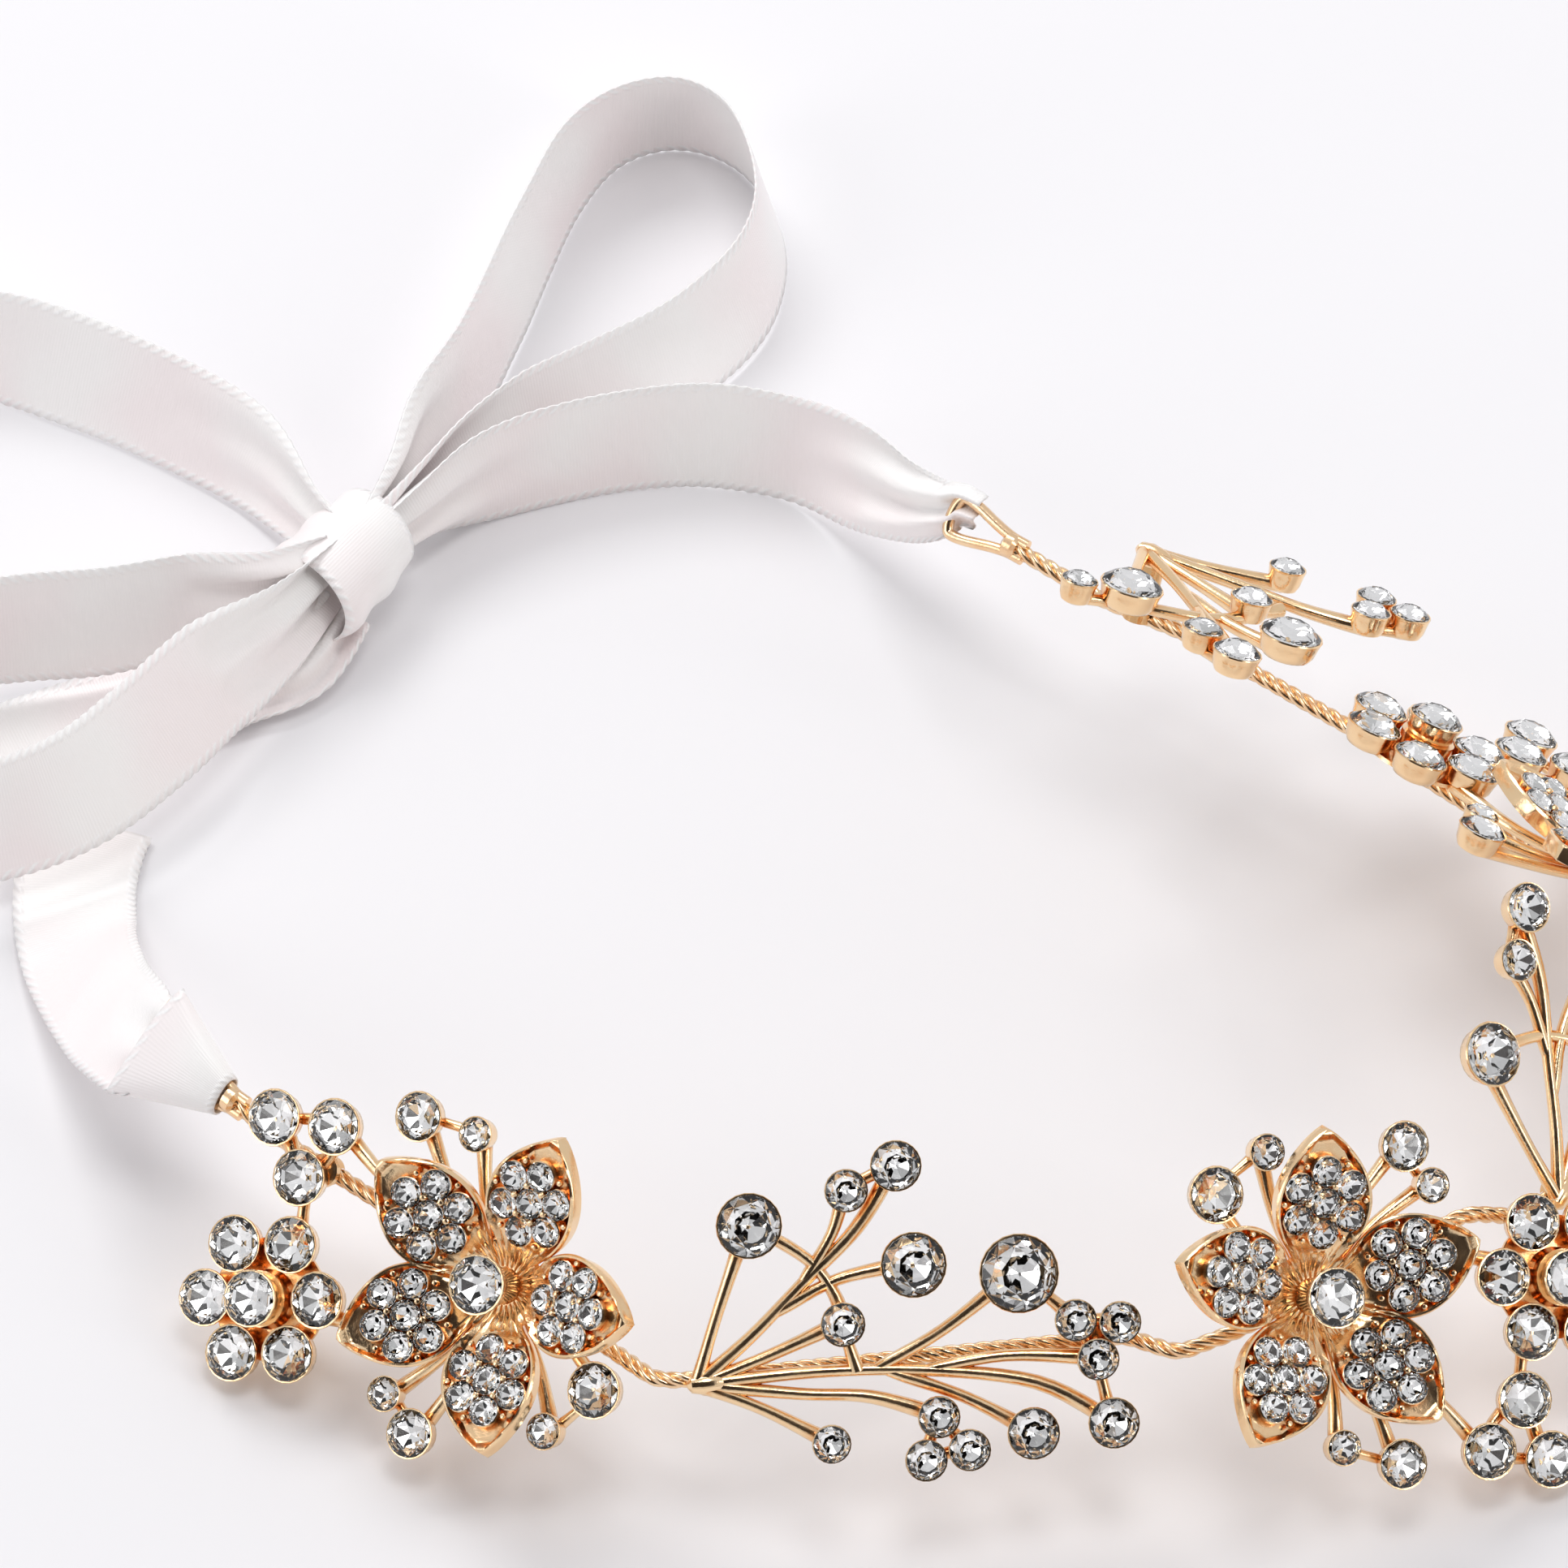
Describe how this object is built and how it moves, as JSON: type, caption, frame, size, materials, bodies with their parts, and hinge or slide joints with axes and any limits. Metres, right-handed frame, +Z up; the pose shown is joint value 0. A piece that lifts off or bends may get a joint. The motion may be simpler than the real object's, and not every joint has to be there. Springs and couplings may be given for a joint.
{
  "type": "flower crown",
  "caption": "Bridal flower crown: a bendable gold wire band carrying cast flowers and sprays set with clear stones, tied at the back with a satin ribbon bow.",
  "frame": {"origin": "on the table under the middle of the crown", "axes": "+X to the right along the front of the band, +Y towards the ribbon bow, +Z up from the table"},
  "size_m": [0.2296, 0.182, 0.0373],
  "materials": {
    "gold_casting": "polished rose-gold plating, darker orange in the recesses",
    "gold_wire": "bright twisted gold-plated wire",
    "solder": "plated solder, slightly dull",
    "stones": "clear faceted glass with foil backs",
    "satin_ribbon": "pale blush satin, shiny face and finely ribbed back"
  },
  "bodies": {
    "front_spray": {"front_wire": "gold_wire", "front_spray_casting": "gold_casting", "front_spray_stones": "stones", "front_spray_solder": "solder"},
    "left_flower": {"left_wire": "gold_wire", "left_eye": "gold_wire", "left_flower_casting": "gold_casting", "left_flower_petal_stones": "stones", "left_flower_cluster_stones": "stones", "left_flower_berry_stones": "stones", "left_flower_heart_stone": "stones", "left_flower_solder": "solder", "left_ribbon_sleeve": "satin_ribbon"},
    "right_flower": {"right_wire": "gold_wire", "right_flower_casting": "gold_casting", "right_flower_petal_stones": "stones", "right_flower_cluster_stones": "stones", "right_flower_berry_stones": "stones", "right_flower_heart_stone": "stones", "right_flower_solder": "solder"},
    "right_spray": {"side_wire": "gold_wire", "right_spray_casting": "gold_casting", "right_spray_stones": "stones", "right_spray_solder": "solder"},
    "back_flower": {"back_wire": "gold_wire", "back_flower_casting": "gold_casting", "back_flower_petal_stones": "stones", "back_flower_cluster_stones": "stones", "back_flower_berry_stones": "stones", "back_flower_heart_stone": "stones", "back_flower_solder": "solder"},
    "back_spray": {"end_wire": "gold_wire", "right_eye": "gold_wire", "back_spray_casting": "gold_casting", "back_spray_stones": "stones", "back_spray_solder": "solder"},
    "left_ribbon": {"left_ribbon_lead": "satin_ribbon"},
    "bow": {"right_ribbon_lead": "satin_ribbon", "bow_knot": "satin_ribbon", "bow_right_loop": "satin_ribbon", "bow_left_loop": "satin_ribbon", "upper_tail": "satin_ribbon", "lower_tail": "satin_ribbon"}
  },
  "joints": [
    {"name": "band_flex_left", "type": "hinge", "parent": "front_spray", "child": "left_flower", "pos_m": [0.00354, -0.0818, 0.0164], "axis": [0, 0, 1], "range_deg": [0, 2.5], "stiffness_Nm_per_rad": 0.03},
    {"name": "band_flex_right", "type": "hinge", "parent": "front_spray", "child": "right_flower", "pos_m": [0.05434, -0.08, 0.018], "axis": [0, 0, 1], "range_deg": [-2.5, 0], "stiffness_Nm_per_rad": 0.03},
    {"name": "band_flex_side", "type": "hinge", "parent": "right_flower", "child": "right_spray", "pos_m": [0.08894, -0.0614, 0.0159], "axis": [0, 0, 1], "range_deg": [-2.5, 0], "stiffness_Nm_per_rad": 0.03},
    {"name": "band_flex_back", "type": "hinge", "parent": "right_spray", "child": "back_flower", "pos_m": [0.11194, -0.0334, 0.0156], "axis": [0, 0, 1], "range_deg": [-2.5, 0], "stiffness_Nm_per_rad": 0.03},
    {"name": "band_flex_end", "type": "hinge", "parent": "back_flower", "child": "back_spray", "pos_m": [0.07234, -0.0003, 0.0171], "axis": [0, 0, 1], "range_deg": [-2.5, 0], "stiffness_Nm_per_rad": 0.03},
    {"name": "left_ribbon_swing", "type": "hinge", "parent": "left_flower", "child": "left_ribbon", "pos_m": [-0.04586, -0.0399, 0.0166], "axis": [0, 0, 1], "range_deg": [-8, 5]},
    {"name": "bow_swing", "type": "hinge", "parent": "back_spray", "child": "bow", "pos_m": [0.03294, 0.027, 0.018], "axis": [0, 0, 1], "range_deg": [-8, 0]}
  ],
  "couplings": [
    {"joint": "band_flex_right", "follows": "band_flex_left", "ratio": -1},
    {"joint": "band_flex_side", "follows": "band_flex_left", "ratio": -1},
    {"joint": "band_flex_back", "follows": "band_flex_left", "ratio": -1},
    {"joint": "band_flex_end", "follows": "band_flex_left", "ratio": -1}
  ]
}
